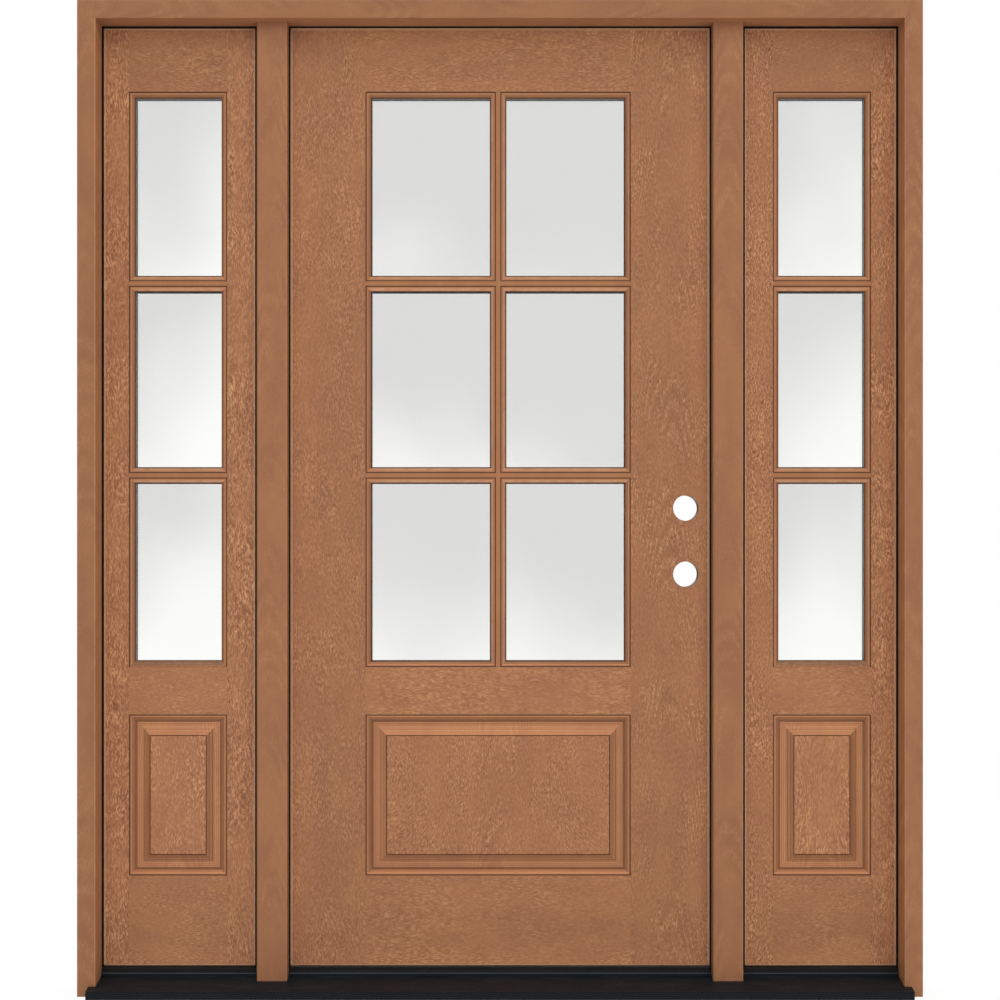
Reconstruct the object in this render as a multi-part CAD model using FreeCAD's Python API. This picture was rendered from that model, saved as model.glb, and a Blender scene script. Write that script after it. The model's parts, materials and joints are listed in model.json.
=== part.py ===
import FreeCAD, Part
import math
import os

# Exterior door unit: one six-lite swinging door between two fixed three-lite sidelights.
# X runs to the right seen from outside, Y runs from outside to inside, Z runs up.
# The origin is under the sill, at the middle of the width, in the plane of the jambs' outer faces.
# Every length is in millimetres.

# Frame
door_rabbet_width = 914.4
sidelight_rabbet_width = 355.6
jamb_depth = 115.9
jamb_board_thickness = 24.8
stop_reach = 12.7
mullion_board_width = 38.1
mullion_setback = 31.75
mullion_ease = 3.5
jamb_ease = 1.6

# Slabs, the same build for the door and both sidelights
slab_thickness = 44.45
slab_bottom_height = 48.4
swing_gap = 5.0
lock_bevel_angle = 3.0
bottom_rail_height = 190.5
panel_opening_height = 339.2
mid_rail_height = 100.1
lite_opening_height = 1212.6
top_rail_height = 144.1
slab_ease = 2.4
door_opening_width = 558.8
door_opening_shift = -4.0
sidelight_opening_width = 206.4
sidelight_opening_shift = 5.5
lite_rows = 3
door_lite_columns = 2
sidelight_lite_columns = 1

# Sticking: the moulded inner edge of the stiles and rails, with the groove behind it
sticking_width = 12.0
sticking_depth = 11.0
quirk_width = 2.2
quirk_depth = 2.0
ovolo_width = 8.3
ovolo_drop = 5.8
ovolo_bulge = 1.4
sight_fillet_depth = 8.9
groove_depth = 11.5
muntin_bead_width = 9.5
muntin_bead_drop = 0.4

# Raised panel
panel_bite = 9.0
panel_shelf = 4.6
cove_start_depth = 9.9
cove_sag = 2.3
panel_crest_depth = 1.0
panel_field_margin = 43.5
panel_field_depth = 1.7
panel_quirk_width = 1.6
panel_quirk_depth = 3.0

# Insulating glass: two panes held in the groove
glass_bite = 8.0
pane_thickness = 3.2

# Lock bores
bore_diameter = 54.0
bore_backset = 60.3
lower_bore_height = 873.7
bore_spacing = 139.7
latch_bore_diameter = 25.4
faceplate_length = 57.15
faceplate_width = 25.4
faceplate_depth = 3.2
strike_length = 57.15
strike_width = 28.6
strike_depth = 1.6
strike_pocket_length = 26.0
strike_pocket_width = 16.0
strike_pocket_depth = 17.0

# Butt hinges
hinge_length = 101.6
hinge_leaf_thickness = 3.4
hinge_leaf_bite = 37.0
hinge_corner_radius = 15.9
barrel_radius = 6.3
barrel_standoff = 0.7
pin_radius = 3.2
pin_clearance = 0.3
knuckle_count = 3
knuckle_gap = 0.6
notch_clearance = 0.4
pin_tip_radius = 4.6
pin_tip_height = 3.0
top_hinge_drop = 178.0
bottom_hinge_rise = 254.0

# Seals
seal_thickness = 4.0
seal_show = 3.6
mullion_gasket_show = 7.4
sweep_drop = 2.0
sweep_base_drop = 0.8
sweep_fin_width = 2.4
sweep_fin_count = 4
sweep_edge_inset = 6.0
sweep_end_inset = 3.0

# Sill
sill_nose_reach = 30.0
sill_nose_height = 17.4
sill_end_inset = 23.2
nose_corner = 0.7
nose_rib_count = 3
nose_rib_pitch = 4.2
nose_rib_depth = 0.9
nose_groove_drop = 3.2
nose_groove_width = 2.4
nose_groove_depth = 1.6
tread_skin = 2.5
riser_setback = 60.0
riser_foot_height = 29.0
riser_top_height = 37.5
riser_lip_height = 3.6
riser_lip_reach = 1.6
sill_deck_height = 36.5
cap_top_height = 41.4
cap_crown = 0.8
cap_rear_inset = 3.0
cap_round = 1.6
block_nose_drop = 4.0

# Places worked out from the sizes above
mullion_width = mullion_board_width + 2 * stop_reach
rabbet_span = door_rabbet_width + 2 * (mullion_board_width + sidelight_rabbet_width)
half_unit = rabbet_span / 2 + jamb_board_thickness
half_rabbet_span = rabbet_span / 2
half_door_rabbet = door_rabbet_width / 2
mullion_outer_rabbet = half_door_rabbet + mullion_board_width
half_door_stop = half_door_rabbet - stop_reach
mullion_outer_stop = mullion_outer_rabbet + stop_reach
panel_bottom = slab_bottom_height + bottom_rail_height
panel_top = panel_bottom + panel_opening_height
lite_bottom = panel_top + mid_rail_height
lite_top = lite_bottom + lite_opening_height
door_top = lite_top + top_rail_height
head_rabbet_height = door_top + swing_gap
unit_height = head_rabbet_height + jamb_board_thickness
head_stop_height = head_rabbet_height - stop_reach
stop_face = jamb_depth - slab_thickness - swing_gap
slab_front = jamb_depth - slab_thickness
glass_unit_thickness = slab_thickness - 2 * sticking_depth
door_half_width = half_door_rabbet - swing_gap
lock_bevel = slab_thickness * math.tan(math.radians(lock_bevel_angle))
riser_rear = riser_setback + tread_skin
sill_half_length = half_unit - sill_end_inset
slab_middle = slab_front + slab_thickness / 2
hinge_axis_x = -half_door_rabbet + swing_gap / 2
hinge_axis_y = jamb_depth + barrel_standoff + barrel_radius
bore_x = door_half_width - bore_backset
bore_heights = [lower_bore_height, lower_bore_height + bore_spacing]
hinge_centres = {
    "top": door_top - top_hinge_drop - hinge_length / 2,
    "bottom": slab_bottom_height + bottom_hinge_rise + hinge_length / 2,
}
hinge_centres["middle"] = (hinge_centres["top"] + hinge_centres["bottom"]) / 2

X_AXIS = FreeCAD.Vector(1, 0, 0)
Y_AXIS = FreeCAD.Vector(0, 1, 0)
Z_AXIS = FreeCAD.Vector(0, 0, 1)


def box(x0, x1, y0, y1, z0, z1):
    """A block between two opposite corners."""
    return Part.makeBox(x1 - x0, y1 - y0, z1 - z0, FreeCAD.Vector(x0, y0, z0))


def section_face(segments, place):
    """A face bounded by segments of 2 or 3 flat points; place turns a flat point into a vector."""
    edges = []
    for segment in segments:
        points = [place(*point) for point in segment]
        if len(points) == 2:
            edges.append(Part.LineSegment(*points).toShape())
        else:
            edges.append(Part.Arc(*points).toShape())
    return Part.Face(Part.Wire(Part.sortEdges(edges)[0]))


def outline(points):
    """The straight segments of a closed outline."""
    return list(zip(points, points[1:] + points[:1]))


def along_z(segments, x0, y0, z0, z1):
    """A section drawn in X and Y, run from z0 up to z1."""
    face = section_face(segments, lambda u, v: FreeCAD.Vector(x0 + u, y0 + v, z0))
    return face.extrude(Z_AXIS * (z1 - z0))


def along_x(segments, y0, z0, x0, x1):
    """A section drawn in Z and Y, run from x0 to x1."""
    face = section_face(segments, lambda u, v: FreeCAD.Vector(x0, y0 + v, z0 + u))
    return face.extrude(X_AXIS * (x1 - x0))


def mirrored(segments, about=0.0):
    """The same segments with their first coordinate turned about a line."""
    return [[(2 * about - u, v) for u, v in segment] for segment in segments]


def shifted(segments, du):
    """The same segments moved along their first coordinate."""
    return [[(u + du, v) for u, v in segment] for segment in segments]


def bulged(start, end, bulge):
    """An arc from start to end whose middle stands off the chord by bulge."""
    du, dv = end[0] - start[0], end[1] - start[1]
    length = math.hypot(du, dv)
    middle = ((start[0] + end[0]) / 2 + bulge * dv / length,
              (start[1] + end[1]) / 2 - bulge * du / length)
    return [start, middle, end]


# Moulding profiles, with u across the moulding towards the opening and v down from the slab's face

def sticking_half():
    """Quirk, ovolo and sight fillet of one face, down to the groove."""
    quirk_end = (quirk_width, quirk_depth)
    ovolo_end = (quirk_width + ovolo_width, quirk_depth + ovolo_drop)
    return [
        [(0, 0), (0, quirk_depth)],
        [(0, quirk_depth), quirk_end],
        bulged(quirk_end, ovolo_end, ovolo_bulge),
        [ovolo_end, (ovolo_end[0], sight_fillet_depth)],
        [(ovolo_end[0], sight_fillet_depth), (sticking_width, sight_fillet_depth)],
        [(sticking_width, sight_fillet_depth), (sticking_width, sticking_depth)],
    ]


def sticking_edge():
    """The whole moulded edge, outside face, groove and inside face."""
    outside = sticking_half()
    inside = [[(u, slab_thickness - v) for u, v in segment] for segment in outside]
    groove_bottom = sticking_width - groove_depth
    rear_wall = slab_thickness - sticking_depth
    groove = [
        [(sticking_width, sticking_depth), (groove_bottom, sticking_depth)],
        [(groove_bottom, sticking_depth), (groove_bottom, rear_wall)],
        [(groove_bottom, rear_wall), (sticking_width, rear_wall)],
    ]
    return outside + groove + inside


def member_section(width, moulded_low, moulded_high, bevel=0.0):
    """Section of a stile or rail: flat faces from 0 to width, each edge moulded, square or bevelled."""
    low = 0 if moulded_low else slab_ease
    high = width if moulded_high else width - slab_ease
    rear = slab_thickness
    segments = [[(low, 0), (high - bevel, 0)], [(low, rear), (high, rear)]]
    if moulded_low:
        segments += mirrored(sticking_edge())
    else:
        segments += [[(low, 0), (0, slab_ease)], [(0, slab_ease), (0, rear - slab_ease)],
                     [(0, rear - slab_ease), (low, rear)]]
    if moulded_high:
        segments += shifted(sticking_edge(), width)
    else:
        segments += [[(high - bevel, 0), (width - bevel, slab_ease)],
                     [(width - bevel, slab_ease), (width, rear - slab_ease)],
                     [(width, rear - slab_ease), (high, rear)]]
    return segments


def muntin_section():
    """One face's muntin: a centre bead between two runs of the sticking, flat on the glass."""
    half_bead = muntin_bead_width / 2
    right = shifted(sticking_half()[1:], half_bead)
    bead_top = [[(-half_bead, muntin_bead_drop), (half_bead, muntin_bead_drop)]]
    bead_sides = [
        [(half_bead, muntin_bead_drop), (half_bead, quirk_depth)],
        [(-half_bead, muntin_bead_drop), (-half_bead, quirk_depth)],
    ]
    foot = half_bead + sticking_width
    base = [[(-foot, sticking_depth), (foot, sticking_depth)]]
    return right + mirrored(right) + bead_top + bead_sides + base


def panel_section(opening):
    """Section of the raised panel across an opening: tongue, shelf, cove and crest at both ends."""
    tongue = sticking_width - panel_bite
    shelf = sticking_width + panel_shelf
    cove_end = (panel_field_margin, panel_crest_depth)
    cove = bulged((shelf, cove_start_depth), cove_end, -cove_sag)
    edge = [
        [(tongue, sticking_depth), (shelf, sticking_depth)],
        [(shelf, sticking_depth), (shelf, cove_start_depth)],
        cove,
    ]
    outside = edge + mirrored(edge, opening / 2)
    outside.append([cove_end, (opening - panel_field_margin, panel_crest_depth)])
    inside = [[(u, slab_thickness - v) for u, v in segment] for segment in outside]
    rear_wall = slab_thickness - sticking_depth
    ends = [
        [(tongue, sticking_depth), (tongue, rear_wall)],
        [(opening - tongue, sticking_depth), (opening - tongue, rear_wall)],
    ]
    return outside + inside + ends


# Slab pieces

def raised_panel(x0, x1):
    """Raised panel: two crossed sections mitre at the corners, then the field is sunk on both faces."""
    upright = along_z(panel_section(x1 - x0), x0, slab_front, panel_bottom, panel_top)
    level = along_x(panel_section(panel_top - panel_bottom), slab_front, panel_bottom, x0, x1)
    panel = upright.common(level)
    inset = panel_field_margin + panel_quirk_width
    for face, inward in ((slab_front, 1), (jamb_depth, -1)):
        field = face + inward * panel_field_depth
        quirk = face + inward * panel_quirk_depth
        x_low, x_high = x0 + panel_field_margin, x1 - panel_field_margin
        z_low, z_high = panel_bottom + panel_field_margin, panel_top - panel_field_margin
        pocket = box(x_low, x_high, min(face, field), max(face, field), z_low, z_high)
        ring = box(x_low, x_high, min(face, quirk), max(face, quirk), z_low, z_high)
        island = box(x0 + inset, x1 - inset, min(face, quirk), max(face, quirk),
                     panel_bottom + inset, panel_top - inset)
        panel = panel.cut(pocket).cut(ring.cut(island))
    return panel


def glass_panes(x0, x1):
    """Two panes of one insulating unit, their edges held in the grooves."""
    cover = sticking_width - glass_bite
    first = slab_front + sticking_depth
    last = jamb_depth - sticking_depth
    panes = []
    for y0 in (first, last - pane_thickness):
        panes.append(box(x0 + cover, x1 - cover, y0, y0 + pane_thickness,
                         lite_bottom + cover, lite_top - cover))
    return Part.makeCompound(panes)


def muntin_bars(x0, x1, columns, around):
    """Muntins of both faces: uprights run through, level bars are coped to them and to the sticking."""
    outside = muntin_section()
    inside = [[(u, slab_thickness - v) for u, v in segment] for segment in outside]
    faces = []
    for section in (outside, inside):
        bars = []
        for column in range(1, columns):
            x = x0 + (x1 - x0) * column / columns
            bars.append(along_z(section, x, slab_front, lite_bottom, lite_top))
        for row in range(1, lite_rows):
            z = lite_bottom + lite_opening_height * row / lite_rows
            bars.append(along_x(section, slab_front, z, x0, x1))
        if columns > 1:
            bars = [bars[0].multiFuse(bars[1:]).removeSplitter()]
        faces += [bar.cut(around) for bar in bars]
    return Part.makeCompound(faces)


def end_arrises(x0, x1, top):
    """Wedges that ease the slab's top and bottom edges on both faces."""
    wedges = []
    for z, up in ((slab_bottom_height, 1), (top, -1)):
        for y, inward in ((slab_front, 1), (jamb_depth, -1)):
            corner = [(z, y), (z + up * slab_ease, y), (z, y + inward * slab_ease)]
            wedges.append(along_x(outline(corner), 0, 0, x0, x1))
    return wedges


def slab_nodes(names, x0, x1, top, opening, columns, bevel=0.0):
    """Stiles, coped rails, panel, glass and muntins of one slab; opening is its width and its shift."""
    low_stile_name, high_stile_name, prefix = names
    opening_width, opening_shift = opening
    low_edge = (x0 + x1 - opening_width) / 2 + opening_shift
    high_edge = low_edge + opening_width
    low_stile = along_z(member_section(low_edge - x0, False, True),
                        x0, slab_front, slab_bottom_height, top)
    high_stile = along_z(member_section(x1 - high_edge, True, False, bevel),
                         high_edge, slab_front, slab_bottom_height, top)
    arrises = end_arrises(x0, x1, top)
    stiles = [low_stile.cut(arrises), high_stile.cut(arrises)]
    rails = {
        "top_rail": (lite_top, top, True, False),
        "mid_rail": (panel_top, lite_bottom, True, True),
        "bottom_rail": (slab_bottom_height, panel_bottom, False, True),
    }
    nodes = dict(zip((low_stile_name, high_stile_name), stiles))
    for name, (z0, z1, moulded_low, moulded_high) in rails.items():
        section = member_section(z1 - z0, moulded_low, moulded_high)
        rail = along_x(section, slab_front, z0, low_edge, high_edge)
        nodes[prefix + "_" + name] = rail.cut(stiles)
    around = stiles + [nodes[prefix + "_top_rail"], nodes[prefix + "_mid_rail"]]
    nodes[prefix + "_panel"] = raised_panel(low_edge, high_edge)
    nodes[prefix + "_glass"] = glass_panes(low_edge, high_edge)
    nodes[prefix + "_muntins"] = muntin_bars(low_edge, high_edge, columns, around)
    return nodes


def lock_bore_cuts():
    """Face bores, latch bores and faceplate mortises in the lock stile."""
    cuts = []
    for z in bore_heights:
        cuts.append(Part.makeCylinder(bore_diameter / 2, slab_thickness,
                                      FreeCAD.Vector(bore_x, slab_front, z), Y_AXIS))
        cuts.append(Part.makeCylinder(latch_bore_diameter / 2, bore_backset,
                                      FreeCAD.Vector(bore_x, slab_middle, z), X_AXIS))
        cuts.append(box(door_half_width - faceplate_depth, door_half_width,
                        slab_middle - faceplate_width / 2, slab_middle + faceplate_width / 2,
                        z - faceplate_length / 2, z + faceplate_length / 2))
    return cuts


def strike_cuts():
    """Strike mortises and bolt pockets in the lock-side mullion."""
    cuts = []
    for z in bore_heights:
        for depth, width, length in ((strike_depth, strike_width, strike_length),
                                     (strike_pocket_depth, strike_pocket_width, strike_pocket_length)):
            cuts.append(box(half_door_rabbet, half_door_rabbet + depth,
                            slab_middle - width / 2, slab_middle + width / 2,
                            z - length / 2, z + length / 2))
    return cuts


def door_sweep():
    """Rubber sweep under the door: a flat base with fins that hang to the cap."""
    y0 = slab_front + sweep_edge_inset
    y1 = jamb_depth - sweep_edge_inset
    x0 = -door_half_width + sweep_end_inset
    x1 = door_half_width - sweep_end_inset - lock_bevel
    top = slab_bottom_height
    sweep = box(x0, x1, y0, y1, top - sweep_base_drop, top)
    pitch = (y1 - y0 - sweep_fin_width) / (sweep_fin_count - 1)
    fins = []
    for index in range(sweep_fin_count):
        y = y0 + index * pitch
        fins.append(box(x0, x1, y, y + sweep_fin_width, top - sweep_drop, top - sweep_base_drop))
    return sweep.multiFuse(fins).removeSplitter()


# Hinges

def knuckles(first, centre):
    """Height ranges of every second knuckle of a hinge, starting with knuckle number first."""
    pitch = hinge_length / knuckle_count
    bottom = centre - hinge_length / 2
    ranges = []
    for index in range(first, knuckle_count, 2):
        low = bottom + index * pitch
        high = low + pitch
        if index > 0:
            low += knuckle_gap / 2
        if index < knuckle_count - 1:
            high -= knuckle_gap / 2
        ranges.append((low, high))
    return ranges


def barrel(radius, z0, z1):
    """A cylinder on the hinge axis."""
    return Part.makeCylinder(radius, z1 - z0, FreeCAD.Vector(hinge_axis_x, hinge_axis_y, z0), Z_AXIS)


def leaf_plate(x0, x1, centre):
    """A leaf's plate, rounded where its mortise ends."""
    y0 = jamb_depth - hinge_leaf_bite
    plate = box(x0, x1, y0, hinge_axis_y, centre - hinge_length / 2, centre + hinge_length / 2)
    corners = [edge for edge in plate.Edges
               if edge.BoundBox.XLength > hinge_leaf_thickness / 2 and edge.BoundBox.YMax < y0 + 1]
    return plate.makeFillet(hinge_corner_radius, corners)


def hinge_leaf(x0, x1, centre, first):
    """A plate with its own knuckles, notched beside the other leaf's knuckles."""
    leaf = leaf_plate(x0, x1, centre)
    own = [barrel(barrel_radius, *span) for span in knuckles(first, centre)]
    notches = [box(x0, x1, jamb_depth, hinge_axis_y, low - notch_clearance, high + notch_clearance)
               for low, high in knuckles(1 - first, centre)]
    return leaf.cut(notches).multiFuse(own).removeSplitter()


def frame_leaf(centre):
    """The leaf let into the mullion, with the pin fixed in its knuckles."""
    x1 = -half_door_rabbet
    leaf = hinge_leaf(x1 - hinge_leaf_thickness, x1, centre, 0)
    low, high = centre - hinge_length / 2, centre + hinge_length / 2
    pin = barrel(pin_radius, low, high)
    tips = [barrel(pin_tip_radius, low - pin_tip_height, low),
            barrel(pin_tip_radius, high, high + pin_tip_height)]
    return leaf.multiFuse([pin] + tips).removeSplitter()


def door_leaf(centre):
    """The leaf let into the door's edge, bored for the pin."""
    x0 = -door_half_width
    leaf = hinge_leaf(x0, x0 + hinge_leaf_thickness, centre, 1)
    return leaf.cut(barrel(pin_radius + pin_clearance, centre - hinge_length, centre + hinge_length))


# Frame

def side_jamb():
    """Left jamb: a rabbeted board with its front inner corner eased."""
    stop_x = jamb_board_thickness + stop_reach
    segments = outline([(0, 0), (stop_x, 0), (stop_x, stop_face), (jamb_board_thickness, stop_face),
                        (jamb_board_thickness, jamb_depth), (0, jamb_depth)])
    jamb = along_z(segments, -half_unit, 0, 0, unit_height)
    corner = [edge for edge in jamb.Edges
              if edge.BoundBox.YMax < 1 and abs(edge.BoundBox.XMin - (stop_x - half_unit)) < 1
              and edge.BoundBox.ZLength > unit_height / 2]
    return jamb.makeFillet(jamb_ease, corner)


def head_jamb(jambs):
    """Head: the same rabbeted board, level between the side jambs."""
    stop_z = jamb_board_thickness + stop_reach
    segments = outline([(0, 0), (-stop_z, 0), (-stop_z, stop_face), (-jamb_board_thickness, stop_face),
                        (-jamb_board_thickness, jamb_depth), (0, jamb_depth)])
    return along_x(segments, 0, unit_height, -half_rabbet_span, half_rabbet_span).cut(jambs)


def mullion(sign, others):
    """Mullion post: a stop in front of a narrower board, cut to the head and the sill."""
    near, far = half_door_stop, mullion_outer_stop
    inner, outer = half_door_rabbet, mullion_outer_rabbet
    segments = outline([(near, mullion_setback), (far, mullion_setback), (far, stop_face),
                        (outer, stop_face), (outer, jamb_depth), (inner, jamb_depth),
                        (inner, stop_face), (near, stop_face)])
    post = along_z(mirrored(segments) if sign < 0 else segments, 0, 0, 0, head_rabbet_height)
    corners = [edge for edge in post.Edges
               if edge.BoundBox.YMax < mullion_setback + 1 and edge.BoundBox.ZLength > unit_height / 2]
    return post.makeFillet(mullion_ease, corners).cut(others)


def seal_strip(x_left, x_right, thickness, shows):
    """Seal on both side stops and the head stop of an opening; shows are its left and right lips."""
    left_reach, right_reach = (stop_reach + show for show in shows)
    y0, y1 = stop_face, stop_face + thickness
    z0 = sill_deck_height
    outer = box(x_left, x_right, y0, y1, z0, head_rabbet_height)
    inner = box(x_left + left_reach, x_right - right_reach, y0, y1,
                z0, head_rabbet_height - stop_reach - seal_show)
    return outer.cut(inner)


# Sill

def nose_outline():
    """The ribbed and grooved front of the tread, from the floor up to its set-back lip."""
    front = -sill_nose_reach
    points = [(0, front)]
    for index in range(nose_rib_count):
        low = nose_rib_pitch * (index + 0.5)
        points += [(low, front), (low + nose_rib_pitch / 4, front + nose_rib_depth),
                   (low + nose_rib_pitch / 2, front)]
    groove_low = sill_nose_height - nose_groove_drop
    groove_high = groove_low + nose_groove_width
    points += [(groove_low, front), (groove_low, front + nose_groove_depth),
               (groove_high, front + nose_groove_depth), (groove_high, front + nose_corner),
               (sill_nose_height, front + nose_corner)]
    return points


def sill_tread(jambs):
    """Aluminium tread: ribbed nose, sloped walking face and a riser with a lip."""
    lip_low = riser_top_height - riser_lip_height
    lip_front = riser_setback - riser_lip_reach
    skin_front = -sill_nose_reach + tread_skin
    points = nose_outline() + [
        (riser_foot_height, riser_setback), (lip_low, riser_setback), (lip_low, lip_front),
        (riser_top_height - nose_corner / 2, lip_front), (riser_top_height, lip_front + nose_corner / 2),
        (riser_top_height, riser_rear), (riser_foot_height - tread_skin, riser_rear),
        (sill_nose_height - tread_skin, skin_front), (0, skin_front)]
    return along_x(outline(points), 0, 0, -sill_half_length, sill_half_length).cut(jambs)


def sill_base(jambs):
    """Composite core under the tread, with a level deck behind the riser."""
    skin_front = -sill_nose_reach + tread_skin
    points = [(0, skin_front), (sill_nose_height - tread_skin, skin_front),
              (riser_foot_height - tread_skin, riser_rear), (sill_deck_height, riser_rear),
              (sill_deck_height, jamb_depth), (0, jamb_depth)]
    return along_x(outline(points), 0, 0, -sill_half_length, sill_half_length).cut(jambs)


def threshold_cap(mullions):
    """Crowned cap that the door closes over."""
    rear = jamb_depth - cap_rear_inset
    shoulder = cap_top_height - cap_crown
    front_top = (shoulder, riser_rear + cap_round)
    rear_top = (shoulder, rear - cap_round)
    segments = outline([front_top, (shoulder - cap_round, riser_rear), (sill_deck_height, riser_rear),
                        (sill_deck_height, rear), (shoulder - cap_round, rear), rear_top])[:-1]
    segments.append([front_top, (cap_top_height, (riser_rear + rear) / 2), rear_top])
    return along_x(segments, 0, 0, -half_door_rabbet, half_door_rabbet).cut(mullions)


def sill_block(x0, x1, around):
    """Block that carries a sidelight on the sill's deck."""
    points = [(sill_deck_height, riser_rear), (slab_bottom_height - block_nose_drop, riser_rear),
              (slab_bottom_height, slab_front), (slab_bottom_height, jamb_depth),
              (sill_deck_height, jamb_depth)]
    return along_x(outline(points), 0, 0, x0, x1).cut(around)


def build():
    """Every node of the unit by its name."""
    left_jamb = side_jamb()
    right_jamb = left_jamb.mirror(FreeCAD.Vector(0, 0, 0), X_AXIS)
    jambs = [left_jamb, right_jamb]
    head = head_jamb(jambs)
    tread = sill_tread(jambs)
    base = sill_base(jambs)
    left_mullion = mullion(-1, [head, tread, base])
    right_mullion = mullion(1, [head, tread, base])
    mullions = [left_mullion, right_mullion]

    nodes = {
        "left_jamb": left_jamb,
        "right_jamb": right_jamb,
        "head_jamb": head,
        "sill_tread": tread,
        "sill_base": base,
        "threshold_cap": threshold_cap(mullions),
        "door_weatherstrip": seal_strip(-half_door_rabbet, half_door_rabbet, seal_thickness,
                                        (seal_show, seal_show)),
    }
    door = slab_nodes(("door_hinge_stile", "door_lock_stile", "door"), -door_half_width, door_half_width,
                      door_top, (door_opening_width, door_opening_shift), door_lite_columns, lock_bevel)
    door["door_lock_stile"] = door["door_lock_stile"].cut(lock_bore_cuts())
    door["door_sweep"] = door_sweep()

    for name, centre in hinge_centres.items():
        nodes[name + "_hinge_frame_leaf"] = frame_leaf(centre)
        door[name + "_hinge_door_leaf"] = door_leaf(centre)
        left_mullion = left_mullion.cut(nodes[name + "_hinge_frame_leaf"])
        door["door_hinge_stile"] = door["door_hinge_stile"].cut(door[name + "_hinge_door_leaf"])
    nodes["left_mullion"] = left_mullion
    nodes["right_mullion"] = right_mullion.cut(strike_cuts())
    nodes.update(door)

    for side, x0, x1 in (("left", -half_rabbet_span, -mullion_outer_rabbet),
                         ("right", mullion_outer_rabbet, half_rabbet_span)):
        stile_names = (side + "_outer_stile", side + "_inner_stile")
        opening = (sidelight_opening_width, -sidelight_opening_shift)
        shows = (seal_show, mullion_gasket_show)
        if side == "right":
            stile_names = stile_names[::-1]
            opening = (sidelight_opening_width, sidelight_opening_shift)
            shows = shows[::-1]
        nodes.update(slab_nodes(stile_names + (side,), x0, x1, head_rabbet_height,
                                opening, sidelight_lite_columns))
        block = sill_block(x0, x1, jambs + mullions)
        gasket = seal_strip(x0, x1, swing_gap, shows)
        nodes[side + "_sill_block"] = block
        nodes[side + "_gasket"] = gasket.cut(block)
    nodes["door_weatherstrip"] = nodes["door_weatherstrip"].cut(nodes["threshold_cap"])
    return nodes


os.makedirs("parts", exist_ok=True)
for node_name, shape in build().items():
    shape.exportStep(os.path.join("parts", node_name + ".step"))
    print(node_name, len(shape.Solids), "solids", "valid" if shape.isValid() else "NOT VALID",
          round(shape.Volume / 1000), "cm3")
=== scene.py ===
import json
import math

import bmesh
import bpy
from bpy.props import FloatProperty, FloatVectorProperty, IntProperty, PointerProperty
from mathutils import Matrix, Vector


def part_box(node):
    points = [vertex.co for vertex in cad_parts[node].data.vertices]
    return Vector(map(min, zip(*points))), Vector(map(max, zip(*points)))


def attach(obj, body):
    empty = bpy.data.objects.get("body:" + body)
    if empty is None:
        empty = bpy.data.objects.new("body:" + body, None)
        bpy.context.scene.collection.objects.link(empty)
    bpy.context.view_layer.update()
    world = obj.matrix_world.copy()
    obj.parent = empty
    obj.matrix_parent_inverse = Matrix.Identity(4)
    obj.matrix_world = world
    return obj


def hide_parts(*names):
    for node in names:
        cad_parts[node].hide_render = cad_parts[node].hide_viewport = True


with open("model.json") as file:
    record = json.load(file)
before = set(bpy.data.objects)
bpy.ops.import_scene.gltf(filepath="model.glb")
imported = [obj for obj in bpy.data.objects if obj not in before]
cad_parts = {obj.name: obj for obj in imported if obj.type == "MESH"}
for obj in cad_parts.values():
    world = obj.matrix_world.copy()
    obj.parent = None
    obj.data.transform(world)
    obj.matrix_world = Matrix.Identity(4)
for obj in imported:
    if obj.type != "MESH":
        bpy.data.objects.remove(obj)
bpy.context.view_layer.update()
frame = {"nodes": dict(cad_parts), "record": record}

bl_info = {
    "name": "Entry Door Unit",
    "version": (1, 0, 0),
    "blender": (4, 5, 0),
    "location": "3D View > Sidebar > Door Unit",
    "description": "Finishes a stained entry door unit with sidelights around its packed frame",
    "category": "Object",
}

MM = 0.001


def linear(red, green, blue):
    """A screen colour, 0 to 255 a channel, as linear light."""
    channels = []
    for channel in (red, green, blue):
        value = channel / 255
        channels.append(value / 12.92 if value <= 0.04045 else ((value + 0.055) / 1.055) ** 2.4)
    return tuple(channels)


# Sizes that the solids and the finish share

SLABS = ("door", "left", "right")
STILES = {
    "door": ("door_hinge_stile", "door_lock_stile"),
    "left": ("left_outer_stile", "left_inner_stile"),
    "right": ("right_inner_stile", "right_outer_stile"),
}
SLAB_BODY = {"door": "door", "left": "frame", "right": "frame"}
GLASS_BITE = 8.0 * MM
PANEL_BITE = 9.0 * MM
STICKING_WIDTH = 12.0 * MM
QUIRK_WIDTH = 2.2 * MM
FOOT_LINE = 1.3 * MM
MUNTIN_BEAD = 9.5 * MM
MUNTIN_WIDTH = MUNTIN_BEAD + 2 * STICKING_WIDTH
PANEL_SHELF = 4.6 * MM
PANEL_MARGIN = 43.5 * MM
PANEL_QUIRK = 1.6 * MM
LITE_ROWS = 3
LITE_COLUMNS = {"door": 2, "left": 1, "right": 1}
PANE_THICKNESS = 3.2 * MM
SPACER_SLACK = 0.2 * MM
STOP_REACH = 12.7 * MM
SIDE_GAP = 5.0 * MM
SEAL_SHOW = 3.6 * MM
MULLION_SEAL_SHOW = 7.4 * MM
SCREW_SPREAD = 76.2 * MM
FAR_SCREW_ROW = 24.5 * MM
NEAR_SCREW_ROW = 10.5 * MM
SHARP_ANGLE = math.radians(35)

# Places and colours of the finish

# Painted highlight line along each slab's visible border: where it starts and ends inside the border.
BORDER_HIGHLIGHT = (3.0 * MM, 4.4 * MM)
# Painted light near the frame: how far inside the border it fades out.
REVEAL_LIGHT = (0.0, 75.0 * MM)
NOWHERE = 9.0
DUST = linear(120, 116, 110)
# How the painted reflection shade on the glass climbs and leans across each slab.
PANE_SHADE_DRIFT = {"door": (0.5, 0.25), "left": (0.0, -0.35), "right": (0.0, -0.35)}


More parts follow.
